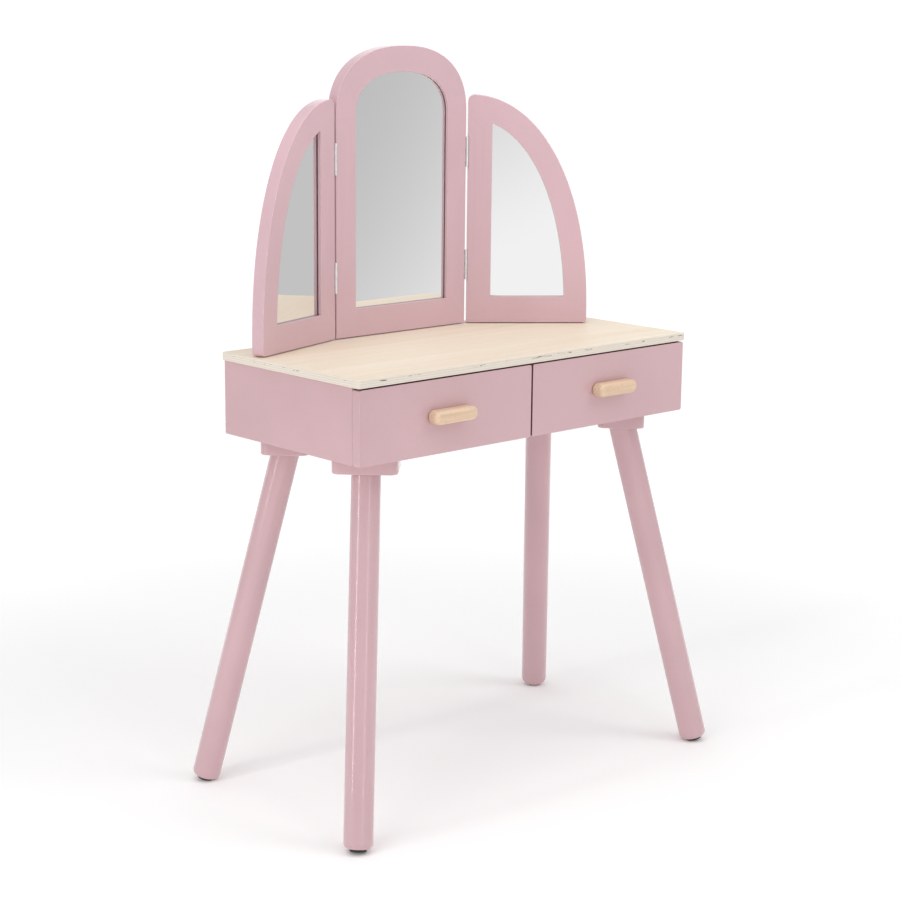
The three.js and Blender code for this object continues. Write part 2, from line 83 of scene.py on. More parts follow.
TOP_LOW, TOP_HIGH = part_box("tabletop")
TOP_Z = TOP_HIGH.z
MIRROR_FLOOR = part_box("centre_mirror_frame")[0].z
CENTRE_SPRING_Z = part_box("centre_mirror_frame")[1].z - CENTRE_RISE
CENTRE_SILL_Z = TOP_Z + 33.5 * MM
WING_SPRING_Z = TOP_Z + 10.4 * MM
WING_SILL_Z = TOP_Z + 32.5 * MM
SIDES = (("left", -1), ("right", 1))


# ---------- Outlines, as lists of (x, y) points that run anticlockwise ----------

def arc(cx, cy, radius, start, turn, steps):
    return [
        (cx + radius * math.cos(start + turn * i / steps), cy + radius * math.sin(start + turn * i / steps))
        for i in range(steps + 1)
    ]


def rounded_rectangle(x0, x1, y0, y1, radius, steps=8):
    quarter = math.pi / 2
    return (
        arc(x1 - radius, y0 + radius, radius, -quarter, quarter, steps)
        + arc(x1 - radius, y1 - radius, radius, 0, quarter, steps)
        + arc(x0 + radius, y1 - radius, radius, quarter, quarter, steps)
        + arc(x0 + radius, y0 + radius, radius, 2 * quarter, quarter, steps)
    )


def rectangle(x0, x1, y0, y1):
    return [(x0, y0), (x1, y0), (x1, y1), (x0, y1)]


def inset(outline, distance):
    """The outline moved inwards by a distance, along the bisector at each corner."""
    made = []
    count = len(outline)
    for i, (x, y) in enumerate(outline):
        before, after = outline[i - 1], outline[(i + 1) % count]
        ax, ay = x - before[0], y - before[1]
        bx, by = after[0] - x, after[1] - y
        la, lb = math.hypot(ax, ay), math.hypot(bx, by)
        nx, ny = -ay / la - by / lb, ax / la + bx / lb
        length = math.hypot(nx, ny)
        nx, ny = nx / length, ny / length
        lean = max(0.3, -ay / la * nx + ax / la * ny)
        made.append((x + nx * distance / lean, y + ny * distance / lean))
    return made


def resample(points, count):
    """The same open line as count points at even spacing."""
    lengths = [0.0]
    for a, b in zip(points, points[1:]):
        lengths.append(lengths[-1] + math.dist(a, b))
    made, j = [], 0
    for i in range(count):
        target = lengths[-1] * i / (count - 1)
        while j < len(points) - 2 and lengths[j + 1] < target:
            j += 1
        share = (target - lengths[j]) / (lengths[j + 1] - lengths[j])
        (ax, ay), (bx, by) = points[j], points[j + 1]
        made.append((ax + (bx - ax) * share, ay + (by - ay) * share))
    return made


def quarter_arch(half_width, rise, z, power, steps=160):
    points = []
    for i in range(steps + 1):
        turn = math.pi / 2 * i / steps
        x = half_width * max(0.0, math.cos(turn)) ** (2 / power)
        points.append((x, z + rise * math.sin(turn) ** (2 / power)))
    return points


# ---------- Meshes ----------

def build(name, points, faces, side=None, arris=None, grain=None):
    """A mesh object from points and faces. side is 1 where a vertex lies on a board's edge and 0 on its
    faces, arris is 1 in the middle of a rounded edge, and grain maps a point to its place along, across
    and through the wood."""
    mesh = bpy.data.meshes.new(name)
    mesh.from_pydata([tuple(p) for p in points], [], [tuple(f) for f in faces])
    for key, values in (("side", side), ("arris", arris)):
        attribute = mesh.attributes.new(key, "FLOAT", "POINT")
        attribute.data.foreach_set("value", values if values else [0.0] * len(points))
    attribute = mesh.attributes.new("grain", "FLOAT_VECTOR", "POINT")
    flat = []
    for p in points:
        flat.extend(grain(Vector(p)) if grain else p)
    attribute.data.foreach_set("vector", flat)
    work = bmesh.new()
    work.from_mesh(mesh)
    bmesh.ops.remove_doubles(work, verts=work.verts, dist=1e-7)
    bmesh.ops.recalc_face_normals(work, faces=work.faces)
    work.to_mesh(mesh)
    work.free()
    obj = bpy.data.objects.new(name, mesh)
    bpy.context.scene.collection.objects.link(obj)
    return obj


def place(obj, body, material, slot, *nodes, angle=32):
    """Gives a piece its material and smooth shading, and makes it ride and stand for its CAD nodes."""
    obj.data.materials.clear()
    obj.data.materials.append(material)
    obj.data.polygons.foreach_set("use_smooth", [True] * len(obj.data.polygons))
    obj.data.set_sharp_from_angle(angle=math.radians(angle))
    weighted = obj.modifiers.new("weighted", "WEIGHTED_NORMAL")
    weighted.keep_sharp = True
    weighted.weight = 80
    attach(obj, body)
    if nodes:
        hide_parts(*nodes)
    return obj


def cut(obj, *cutters):
    """Cuts other meshes out of a piece and removes them."""
    for cutter in cutters:
        step = obj.modifiers.new("cut", "BOOLEAN")
        step.operation = "DIFFERENCE"
        step.solver = "EXACT"
        step.object = cutter
        graph = bpy.context.evaluated_depsgraph_get()
        graph.update()
        mesh = bpy.data.meshes.new_from_object(
            obj.evaluated_get(graph), preserve_all_data_layers=True, depsgraph=graph,
        )
        obj.modifiers.remove(step)
        obj.data = mesh
        bpy.data.objects.remove(cutter)
    return obj


def stack(name, rings, side, arris, grain=None, matrix=Matrix()):
    """A closed body from a stack of rings with equal counts, capped at both ends."""
    count = len(rings[0])
    points = [matrix @ Vector(p) for ring in rings for p in ring]
    faces = []
    for k in range(len(rings) - 1):
        for i in range(count):
            j = (i + 1) % count
            faces.append((k * count + i, k * count + j, (k + 1) * count + j, (k + 1) * count + i))
    faces.append(tuple(reversed(range(count))))
    faces.append(tuple(range((len(rings) - 1) * count, len(rings) * count)))
    flat_side = [value for value in side for _ in range(count)]
    flat_arris = [value for value in arris for _ in range(count)]
    return build(name, points, faces, flat_side, flat_arris, grain)


def rounding(radius, steps):
    """(inset, depth, arris) of the points round an eased edge, from the face to the side."""
    made = []
    for k in range(steps + 1):
        turn = math.pi / 2 * k / steps
        made.append((radius * (1 - math.sin(turn)), radius * (1 - math.cos(turn)), math.sin(2 * turn)))
    return made


def board(name, outline, low, high, ease, matrix=Matrix(), grain=None, ease_high=None, steps=4):
    """A flat board from z = low to high, with eased edges all round both faces."""
    rings, side, arris = [], [], []
    for shrink, depth, wear_and_highlight in rounding(ease, steps):
        rings.append([(x, y, low + depth) for x, y in inset(outline, shrink)])
        side.append(1 - shrink / ease)
        arris.append(wear_and_highlight)
    top = ease if ease_high is None else ease_high
    for shrink, depth, wear_and_highlight in reversed(rounding(top, steps)):
        rings.append([(x, y, high - depth) for x, y in inset(outline, shrink)])
        side.append(1 - shrink / top)
        arris.append(wear_and_highlight)
    return stack(name, rings, side, arris, grain, matrix)


# Turns a board drawn in x and y, and thick along z, so that it stands up in X and Z and is thick along Y.
UPRIGHT = Matrix(((1, 0, 0, 0), (0, 0, 1, 0), (0, 1, 0, 0), (0, 0, 0, 1)))


def panel(name, node, thin, ease, along):
    """A plain board that fills a CAD node's box. thin is its thickness axis and along its grain's axis."""
    low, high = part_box(node)
    across = [a for a in (0, 1, 2) if a != thin]
    outline = rectangle(low[across[0]], high[across[0]], low[across[1]], high[across[1]])
    columns = [[0.0] * 4 for _ in range(4)]
    columns[0][across[0]] = columns[1][across[1]] = columns[2][thin] = columns[3][3] = 1.0
    turned = Matrix(columns).transposed()
    other = next(a for a in across if a != along)

    def grain(p):
        return (p[along], p[other], (p[thin] - low[thin]) / (high[thin] - low[thin]))

    return board(name, outline, low[thin], high[thin], ease, turned, grain, steps=3)


def lathe(name, profile, segments, matrix=Matrix(), grain=None, top_plane=None):
    """A solid of revolution about z. profile is (radius, z) from the axis at the bottom to the axis at the
    top. top_plane, where given, is a height in the row frame at which the last ring is cut off level."""
    points, faces = [], []
    rings = profile[1:-1]
    for r, z in rings:
        for i in range(segments):
            turn = 2 * math.pi * i / segments
            points.append(matrix @ Vector((r * math.cos(turn), r * math.sin(turn), z)))
    if top_plane is not None:
        axis = matrix.to_3x3() @ Vector((0, 0, 1))
        for i in range(len(points) - segments, len(points)):
            points[i] = points[i] + axis * ((top_plane - points[i].z) / axis.z)
    for k in range(len(rings) - 1):
        for i in range(segments):
            j = (i + 1) % segments
            faces.append((k * segments + i, k * segments + j, (k + 1) * segments + j, (k + 1) * segments + i))
    faces.append(tuple(reversed(range(segments))))
    faces.append(tuple(range(len(points) - segments, len(points))))
    return build(name, points, faces, grain=grain)


# ---------- Materials ----------

class Nodes:
    """Short forms for a node tree: a new material's, or the one that is given."""

    def __init__(self, name, tree=None):
        if tree is None:
            self.material = bpy.data.materials.new(name)
            self.material.use_nodes = True
            tree = self.material.node_tree
            self.surface = tree.nodes["Principled BSDF"]
        self.tree = tree

    def add(self, kind, **settings):
        node = self.tree.nodes.new(kind)
        for key, value in settings.items():
            setattr(node, key, value)
        return node

    def link(self, source, target):
        self.tree.links.new(source, target)

    def attribute(self, name):
        return self.add("ShaderNodeAttribute", attribute_name=name)

    def scaled(self, source, x, y, z):
        node = self.add("ShaderNodeMapping")
        node.inputs["Scale"].default_value = (x, y, z)
        self.link(source, node.inputs["Vector"])
        return node.outputs["Vector"]

    def fade(self, source, start, end):
        """Rises smoothly from 0 at start to 1 at end."""
        node = self.add("ShaderNodeMapRange", interpolation_type="SMOOTHSTEP")
        node.inputs["From Min"].default_value = start
        node.inputs["From Max"].default_value = end
        self.link(source, node.inputs["Value"])
        return node.outputs["Result"]

    def noise_colour(self, vector, scale):
        node = self.add("ShaderNodeTexNoise")
        node.inputs["Scale"].default_value = scale
        self.link(vector, node.inputs["Vector"])
        return node.outputs["Color"]

    def noise(self, vector, scale, detail=3.0, roughness=0.5):
        node = self.add("ShaderNodeTexNoise")
        node.inputs["Scale"].default_value = scale
        node.inputs["Detail"].default_value = detail
        node.inputs["Roughness"].default_value = roughness
        self.link(vector, node.inputs["Vector"])
        return node.outputs["Fac"]

    def ramp(self, source, *stops):
        """Colours or greys at positions between 0 and 1."""
        node = self.add("ShaderNodeValToRGB")
        elements = node.color_ramp.elements
        while len(elements) < len(stops):
            elements.new(0.5)
        for element, (position, value) in zip(elements, stops):
            element.position = position
            element.color = (*value, 1) if isinstance(value, tuple) else (value, value, value, 1)
        self.link(source, node.inputs["Fac"])
        return node.outputs["Color"]

    def mix(self, kind, factor, a, b):
        node = self.add("ShaderNodeMix", data_type="RGBA", blend_type=kind)
        for socket, value in ((node.inputs["Factor"], factor), (node.inputs["A"], a), (node.inputs["B"], b)):
            self.feed(socket, value)
        return node.outputs["Result"]

    def maths(self, operation, a, b=0.0, c=0.0):
        node = self.add("ShaderNodeMath", operation=operation)
        self.feed(node.inputs[0], a)
        self.feed(node.inputs[1], b)
        self.feed(node.inputs[2], c)
        return node.outputs[0]

    def feed(self, socket, value):
        """Gives a socket another socket's value, a colour or a number."""
        if isinstance(value, bpy.types.NodeSocket):
            self.link(value, socket)
        elif isinstance(value, tuple):
            socket.default_value = (*value, 1)
        else:
            socket.default_value = value

    def bump(self, height, distance):
        """Relief of a height between 0 and 1, distance metres deep."""
        node = self.add("ShaderNodeBump")
        node.inputs["Strength"].default_value = 1.0
        node.inputs["Distance"].default_value = distance
        self.link(height, node.inputs["Height"])
        return node.outputs["Normal"]

    def finish(self, colour, roughness, normal=None, **values):
        """Fills in the surface. An underscore in a value's name stands for a space."""
        self.feed(self.surface.inputs["Base Color"], colour)
        self.feed(self.surface.inputs["Roughness"], roughness)
        if normal:
            self.link(normal, self.surface.inputs["Normal"])
        for key, value in values.items():
            self.surface.inputs[key.replace("_", " ")].default_value = value
        return self.material


def srgb(red, green, blue):
    """Linear light from display values of 0 to 255."""
    shown = (red / 255, green / 255, blue / 255)
    return tuple(v / 12.92 if v <= 0.04045 else ((v + 0.055) / 1.055) ** 2.4 for v in shown)


def shade(colour, factor):
    return tuple(min(1.0, c * factor) for c in colour)


def painted(name, colour, grained):
    """Satin paint on wood under a clear coat: a slight mottle, a sprayed skin, paler edges that are partly
    painted highlight on the rounded edges and partly broken up like worn paint, and dark, matt painted shade
    on faces that a vertex attribute marks as lying in a narrow gap. grained adds the faint lines of a turned
    bar.
    The roughness stays above 0.28, below which Cycles denoises a surface as a mirror."""
    n = Nodes(name)
    place_in_wood = n.attribute("grain").outputs["Vector"]
    broad = n.noise(place_in_wood, 9, 2)
    tint = n.ramp(broad, (0.3, shade(colour, 0.965)), (0.7, shade(colour, 1.03)))
    fine = n.noise(place_in_wood, 420, 3, 0.6)
    tint = n.mix("MULTIPLY", 1.0, tint, n.ramp(fine, (0.3, 0.975), (0.7, 1.0)))
    # Paler edges: partly a painted highlight where light catches the rounded edges, broken up in patches like
    # worn paint.
    arris = n.attribute("arris").outputs["Fac"]
    broken = n.ramp(n.noise(place_in_wood, 160, 4, 0.65), (0.35, 0.25), (0.65, 1.0))
    wear_and_highlight = n.maths("MULTIPLY", n.maths("MULTIPLY", arris, broken), 0.3)
    tint = n.mix("MIX", wear_and_highlight, tint, shade(colour, 1.3))
    # Painted shade: faces in the narrow gaps under the tabletop and between the drawer fronts take dark
    # paint, with no coat and no gloss, in place of the shade that falls there.
    painted_gap_shade = n.attribute("painted_gap_shade").outputs["Fac"]
    tint = n.mix("MIX", n.maths("MULTIPLY", painted_gap_shade, 0.85), tint, srgb(104, 68, 70))
    n.feed(n.surface.inputs["Specular IOR Level"], n.maths("MULTIPLY_ADD", painted_gap_shade, -0.2, 0.2))
    n.feed(n.surface.inputs["Coat Weight"], n.maths("MULTIPLY_ADD", painted_gap_shade, -0.9, 0.9))
    n.feed(n.surface.inputs["Coat Roughness"], 0.17)
    skin = n.noise(place_in_wood, 700, 2, 0.5)
    height = skin
    if grained:
        lines = n.noise(n.scaled(place_in_wood, 6, 420, 420), 1.0, 3, 0.6)
        height = n.maths("ADD", n.maths("MULTIPLY", skin, 0.5), lines)
    normal = n.bump(height, 0.000016 if grained else 0.000012)
    roughness = n.ramp(n.noise(place_in_wood, 38, 3), (0.3, 0.285), (0.7, 0.33))
    return n.finish(tint, roughness, normal)


def veneer(n, vector, pale, dark, streak):
    """Straight-grained face veneer: broad soft bands, fine streaks and short fine flecks."""
    wander = n.mix("LINEAR_LIGHT", 0.012, vector, n.noise_colour(vector, 6))
    bands = n.noise(n.scaled(wander, 1.6, 46, 4), 1.0, 4, 0.55)
    lines = n.noise(n.scaled(wander, 7, 620, 8), 1.0, 3, 0.65)
    tint = n.ramp(bands, (0.3, dark), (0.68, pale))
    tint = n.mix("MULTIPLY", 1.0, tint, n.ramp(lines, (0.32, streak), (0.62, 1.0)))
    flecks = n.noise(n.scaled(wander, 130, 1500, 30), 1.0, 1, 0.5)
    tint = n.mix("MULTIPLY", 1.0, tint, n.ramp(flecks, (0.27, 0.86), (0.36, 1.0)))
    return tint, lines


def birch_ply(name, plies):
    """Birch plywood: lacquered face veneer, and on the edges the plies in turn, long grain and end grain,
    with dark specks where the end grain took up dirt."""
    n = Nodes(name)
    vector = n.attribute("grain").outputs["Vector"]
    face, lines = veneer(n, vector, srgb(241, 228, 210), srgb(233, 217, 193), 0.96)
    split = n.add("ShaderNodeSeparateXYZ")
    n.link(vector, split.inputs[0])
    through = n.maths("MULTIPLY", split.outputs["Z"], float(plies))
    wavy = n.maths("ADD", through, n.maths("MULTIPLY", n.noise(n.scaled(vector, 60, 60, 3), 1.0, 2), 0.22))
    place_in_ply = n.maths("FRACT", wavy)
    odd = n.maths("GREATER_THAN", n.maths("MODULO", wavy, 2.0), 1.0)
    broad = n.noise(n.scaled(vector, 20, 20, 30), 1.0, 3)
    along = n.mix("MIX", broad, srgb(226, 216, 203), srgb(236, 228, 216))
    pores = n.noise(n.scaled(vector, 900, 900, 26), 1.0, 2, 0.6)
    across = n.ramp(pores, (0.36, srgb(211, 199, 185)), (0.56, srgb(228, 218, 206)))
    plied = n.mix("MIX", odd, along, across)
    glue = n.ramp(place_in_ply, (0.0, 0.93), (0.12, 1.0), (0.9, 1.0), (1.0, 0.93))
    plied = n.mix("MULTIPLY", 1.0, plied, glue)
    voids = n.noise(n.scaled(vector, 80, 80, 5.5), 1.0, 3, 0.65)
    level = n.ramp(split.outputs["Z"], (0.56, 0.0), (0.6, 1.0), (0.71, 1.0), (0.76, 0.0))
    specks = n.maths("MULTIPLY", n.ramp(voids, (0.6, 0.0), (0.625, 0.95)), level)
    plied = n.mix("MIX", specks, plied, srgb(58, 44, 38))
    side = n.attribute("side").outputs["Fac"]
    tint = n.mix("MIX", n.ramp(side, (0.35, 0.0), (0.6, 1.0)), face, plied)
    height = n.mix("MIX", side, lines, pores)
    roughness = n.ramp(n.noise(vector, 30, 3), (0.3, 0.42), (0.7, 0.54))
    return n.finish(tint, roughness, n.bump(height, 0.00005), Specular_IOR_Level=0.4)


def beech(name):
    """Lacquered beech: fine lines and the short dark flecks of its rays."""
    n = Nodes(name)
    vector = n.attribute("grain").outputs["Vector"]
    lines = n.noise(n.scaled(vector, 14, 520, 520), 1.0, 3, 0.6)
    tint = n.ramp(lines, (0.28, srgb(215, 182, 150)), (0.7, srgb(236, 209, 183)))
    bands = n.noise(n.scaled(vector, 5, 90, 90), 1.0, 2)
    tint = n.mix("MULTIPLY", 1.0, tint, n.ramp(bands, (0.3, 0.94), (0.7, 1.0)))
    flecks = n.noise(n.scaled(vector, 340, 1900, 1900), 1.0, 1)
    tint = n.mix("MIX", n.ramp(flecks, (0.66, 0.0), (0.73, 0.7)), tint, srgb(170, 124, 86))
    # Painted highlight: the rounded edges are mixed a little towards a paler beech, where light catches them.
    arris = n.attribute("arris").outputs["Fac"]
    tint = n.mix("MIX", n.maths("MULTIPLY", arris, 0.12), tint, srgb(245, 224, 198))
    roughness = n.ramp(n.noise(vector, 60, 3), (0.3, 0.4), (0.7, 0.52))
    return n.finish(tint, roughness, n.bump(lines, 0.00006), Specular_IOR_Level=0.4)


def hardboard(name):
    """Brown hardboard: pressed fibres of several lengths."""
    n = Nodes(name)
    vector = n.attribute("grain").outputs["Vector"]
    mottle = n.noise(vector, 90, 6, 0.7)
    tint = n.ramp(mottle, (0.3, srgb(124, 90, 62)), (0.7, srgb(140, 104, 73)))
    fibres = n.noise(n.scaled(vector, 900, 320, 600), 1.0, 4, 0.7)
    tint = n.mix("MULTIPLY", 1.0, tint, n.ramp(fibres, (0.35, 0.78), (0.6, 1.06)))
    return n.finish(tint, 0.72, n.bump(fibres, 0.00016), Specular_IOR_Level=0.25)


def mirror_glass(name):
    """Silvered flat glass: nearly all reflection, with a faint green body at the edges and a light haze."""
    n = Nodes(name)
    vector = n.attribute("grain").outputs["Vector"]
    haze = n.ramp(n.noise(vector, 14, 4, 0.6), (0.35, 0.012), (0.75, 0.03))
    side = n.attribute("side").outputs["Fac"]
    tint = n.mix("MIX", side, srgb(241, 241, 241), srgb(150, 178, 166))
    return n.finish(tint, haze, None, Metallic=1.0)


def steel(name, scale):
    """Zinc plated steel: fine rolling lines and a slight cloudiness."""
    n = Nodes(name)
    vector = n.attribute("grain").outputs["Vector"]
    clouds = n.noise(vector, 300, 4, 0.6)
    tint = n.ramp(clouds, (0.3, srgb(226, 227, 228)), (0.7, srgb(246, 246, 246)))
    lines = n.noise(n.scaled(vector, 300, 300, scale), 1.0, 2)
    roughness = n.ramp(lines, (0.3, 0.29), (0.7, 0.38))
    return n.finish(tint, roughness, n.bump(lines, 0.00002), Metallic=1.0)


def black_plastic(name):
    """Moulded black plastic with a fine matt grain, scuffed paler where it rubs."""
    n = Nodes(name)
    vector = n.attribute("grain").outputs["Vector"]
    scuffs = n.noise(n.scaled(vector, 500, 240, 500), 1.0, 4, 0.7)
    tint = n.ramp(scuffs, (0.45, srgb(30, 30, 32)), (0.75, srgb(66, 65, 66)))
    texture = n.noise(vector, 1600, 2)
    return n.finish(tint, 0.5, n.bump(texture, 0.00006))


def inner_steel(name, colour):
    """Zinc plated steel for the fasteners that keep their CAD mesh, which has no grain attribute."""
    n = Nodes(name)
    where = n.add("ShaderNodeTexCoord").outputs["Object"]
    clouds = n.noise(where, 300, 3)
    tint = n.ramp(clouds, (0.3, shade(colour, 0.9)), (0.7, shade(colour, 1.06)))
    lines = n.noise(n.scaled(where, 200, 200, 1500), 1.0, 2)
    return n.finish(tint, n.ramp(lines, (0.3, 0.29), (0.7, 0.4)), n.bump(lines, 0.00002), Metallic=1.0)


PINK = srgb(207, 171, 176)
pink_paint = painted("pink_paint", PINK, False)
# Painted light: the frames take the case's pink made lighter and a little cooler, for brighter light on them
# and against the warm bounce from the tabletop.
pink_paint_lit_for_frames = painted("pink_paint_with_painted_frame_light", srgb(214, 179, 187), False)
pink_bar = painted("pink_paint_on_bar", PINK, True)
ply_nine = birch_ply("birch_plywood", 7)
ply_three = birch_ply("birch_plywood_thin", 3)
beech_wood = beech("beech")
fibre_board = hardboard("hardboard")
silvered = mirror_glass("mirror_glass")
zinc = steel("zinc_plated_steel", 1500)
hidden_zinc = inner_steel("zinc_plated_steel_inside", srgb(205, 206, 208))
black = black_plastic("black_plastic")


# ---------- Tabletop and case ----------

def make_tabletop():
    def grain(p):
        return (p.x, p.y, (p.z - TOP_LOW.z) / (TOP_Z - TOP_LOW.z))

    outline = rounded_rectangle(TOP_LOW.x, TOP_HIGH.x, TOP_LOW.y, TOP_HIGH.y, TOP_CORNER)
    top = board("tabletop_board", outline, TOP_LOW.z, TOP_Z, TOP_EASE, grain=grain)
    place(top, "table", ply_nine, "birch_plywood", "tabletop")


def make_case():
    for node, thin in (("left_side_panel", 0), ("right_side_panel", 0), ("back_panel", 1),
                       ("case_bottom", 2), ("centre_divider", 0)):
        along = 0 if thin else 1
        made = panel(node + "_board", node, thin, CASE_EASE, along)
        place(made, "table", pink_paint, "pink_paint", node)


# ---------- Legs ----------

def make_leg(corner, sx, sy):
    """A leg with its pad and glide, turned to the corner's diagonal about the foot's place on the floor."""
    upright = Matrix.Translation((sx * FOOT_X, sy * FOOT_Y, 0)) @ Matrix.Rotation(math.atan2(sy, sx), 4, "Z")
    matrix = upright @ Matrix.Rotation(-LEG_SPLAY, 4, "Y")
    back = matrix.inverted()

    def grain(p):
        local = back @ p
        return (local.z, local.x, local.y)

    glide_start = GLIDE_RADIUS * math.tan(LEG_SPLAY) - GLIDE_WEAR
    glide_end = glide_start + GLIDE_THICKNESS
    start = glide_end + GAP
    flat = LEG_RADIUS - LEG_FOOT_ROUND
    profile = [(0, start), (flat * 0.5, start)]
    profile += arc(flat, start + LEG_FOOT_ROUND, LEG_FOOT_ROUND, -math.pi / 2, math.pi / 2, 9)
    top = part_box("leg_" + corner)[1].z
    profile += [(LEG_RADIUS, share * top) for share in (0.2, 0.4, 0.6, 0.8)]
    profile += [(LEG_RADIUS, top), (0, top)]
    bar = lathe(f"leg_{corner}_bar", profile, 72, matrix, grain, top_plane=top)
    place(bar, "table", pink_bar, "pink_paint", "leg_" + corner)

    low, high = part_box("leg_pad_" + corner)
    middle = math.tan(LEG_SPLAY) * (low.z + high.z) / 2
    outline = rounded_rectangle(
        -middle - PAD_WIDTH / 2, -middle + PAD_WIDTH / 2, -PAD_LENGTH / 2, PAD_LENGTH / 2, PAD_CORNER, 10,
    )
    pad = board(f"leg_pad_{corner}_block", outline, low.z, high.z, PAD_EASE, upright, steps=5)
    place(pad, "table", pink_paint, "pink_paint", "leg_pad_" + corner)

    rim = [(0, glide_start), (GLIDE_RADIUS * 0.6, glide_start)]
    rim += arc(GLIDE_RADIUS - GLIDE_EDGE, glide_start + GLIDE_EDGE, GLIDE_EDGE, -math.pi / 2, math.pi / 2, 4)
    rim += arc(GLIDE_RADIUS - GLIDE_EDGE, glide_end - GLIDE_EDGE, GLIDE_EDGE, 0, math.pi / 2, 4)
    tip = glide_end + GLIDE_NAIL_LENGTH
    rim += [(GLIDE_NAIL_RADIUS, glide_end), (GLIDE_NAIL_RADIUS, tip - GLIDE_NAIL_POINT)]
    rim += [(0.15 * MM, tip), (0, tip)]
    glide = lathe(f"foot_glide_{corner}_disc", rim, 64, matrix)
    # The disc is square to the leaning leg, and worn level where it meets the floor.
    for vertex in glide.data.vertices:
        vertex.co.z = max(0.0, vertex.co.z)
    place(glide, "table", black, "black_plastic", "foot_glide_" + corner)


# ---------- Drawers ----------

def cross(matrix, turns, reach, half_width, low, high, ease):
    """Cutters for a cross recess round a screw's axis, one bar for each turn, from z = low to high."""
    tools = []
    for turn in turns:
        tool = board("slot", rectangle(-reach, reach, -half_width, half_width), low, high, ease)
        tool.data.transform(matrix @ Matrix.Rotation(turn, 4, "Z"))
        tools.append(tool)
    return tools


def make_drawer(hand):
    body = hand + "_drawer"
    low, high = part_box(body + "_front")
    outline = rounded_rectangle(low.x, high.x, low.z, high.z, FRONT_CORNER)
    front = board(
        body + "_front_board", outline, low.y, high.y, FRONT_EASE, UPRIGHT, ease_high=FRONT_BACK_EASE,
    )
    # The top edge, and the end that meets the other drawer's front, take painted shade: dark, matt paint that
    # stands for the shade in the narrow gaps under the tabletop and between the fronts. The eased corner in
    # front of them and the back face keep the light paint.
    meeting = high.x if hand == "left" else low.x
    near, skipped_front, skipped_back = 0.5 * MM, 0.35 * MM, 0.05 * MM
    gap_shade_attribute = front.data.attributes.new("painted_gap_shade", "FLOAT", "POINT")
    gap_shade_attribute.data.foreach_set("value", [
        float(
            low.y + skipped_front < y < high.y - skipped_back
            and (abs(x - meeting) < near or high.z - z < near)
        )
        for x, y, z in (v.co for v in front.data.vertices)
    ])
    place(front, body, pink_paint, "pink_paint", body + "_front")
    for part, thin in (("left_side", 0), ("right_side", 0), ("back", 1)):
        node = f"{body}_{part}"
        made = panel(node + "_board", node, thin, DRAWER_EASE, 0 if thin else 1)
        place(made, body, ply_nine, "birch_plywood", node)
    made = panel(body + "_bottom_board", body + "_bottom", 2, DRAWER_BOTTOM_EASE, 0)
    place(made, body, ply_three, "birch_plywood", body + "_bottom")
    make_handle(hand, body)


def make_handle(hand, body):
    low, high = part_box(hand + "_handle")

    def grain(p):
        return (p.x, p.z, p.y)

    outline = rounded_rectangle(low.x, high.x, low.z, high.z, HANDLE_CORNER, 12)
    bar = board(
        f"{hand}_handle_bar", outline, low.y, high.y, HANDLE_ROUND, UPRIGHT, grain, HANDLE_BACK_ROUND, 10,
    )
    place(bar, body, beech_wood, "beech", hand + "_handle", angle=50)

    low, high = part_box(hand + "_handle_screw")
    x, z = (low.x + high.x) / 2, (low.z + high.z) / 2
    head = (high.x - low.x) / 2
    length = high.y - low.y
    matrix = Matrix.Translation((x, high.y, z)) @ Matrix.Rotation(math.pi / 2, 4, "X")
    under_head, shank, point = 2.4 * MM, 2 * MM, 2.5 * MM
    profile = [(0, 0), (head * 0.5, 0), (head * 0.8, 0.3 * MM), (head * 0.97, 1.0 * MM), (head, 1.6 * MM)]
    profile += [(head, under_head), (shank, under_head), (shank, length - point)]
    profile += [(0.3 * MM, length), (0, length)]
    screw = lathe(f"{hand}_handle_screw_pan_head", profile, 40, matrix)
    recess = {"reach": 2.1 * MM, "half_width": 0.45 * MM, "low": -1 * MM, "high": 1.2 * MM, "ease": 0.05 * MM}
    cut(screw, *cross(matrix, (math.pi / 4, -math.pi / 4), **recess))
    place(screw, body, zinc, "steel", hand + "_handle_screw")


# ---------- Mirrors ----------

def centre_outline(shrink, base, count=44):
    """The centre frame's outline drawn in by a distance. Every one has the same number of points."""
    right = resample(
        quarter_arch(CENTRE_HALF_WIDTH - shrink, CENTRE_RISE - shrink, CENTRE_SPRING_Z, CENTRE_POWER), count,
    )
    left = [(-x, z) for x, z in reversed(right[:-1])]
    edge = right[0][0]
    return [(-edge, base), (edge, base), *right, *left]


def wing_outline(count=48):
    """A wing's outline, with u from its hinged edge, starting at the foot of that edge."""
    curve = quarter_arch(WING_LENGTH, WING_RISE, WING_SPRING_Z, WING_POWER, 400)
    beyond = [p for p in curve if p[0] > WING_TOP_CORNER]
    crown = beyond[-1][1] - WING_TOP_CORNER
    corner = arc(WING_TOP_CORNER, crown, WING_TOP_CORNER, math.pi / 2, math.pi / 2, 8)
    foot = arc(
        WING_LENGTH - WING_FOOT_CORNER, MIRROR_FLOOR + WING_FOOT_CORNER, WING_FOOT_CORNER,
        -math.pi / 2, math.pi / 2, 6,
    )
    return [(0, MIRROR_FLOOR), *foot[:-1], *resample([foot[-1], *beyond[:-1], corner[0]], count), *corner[1:]]


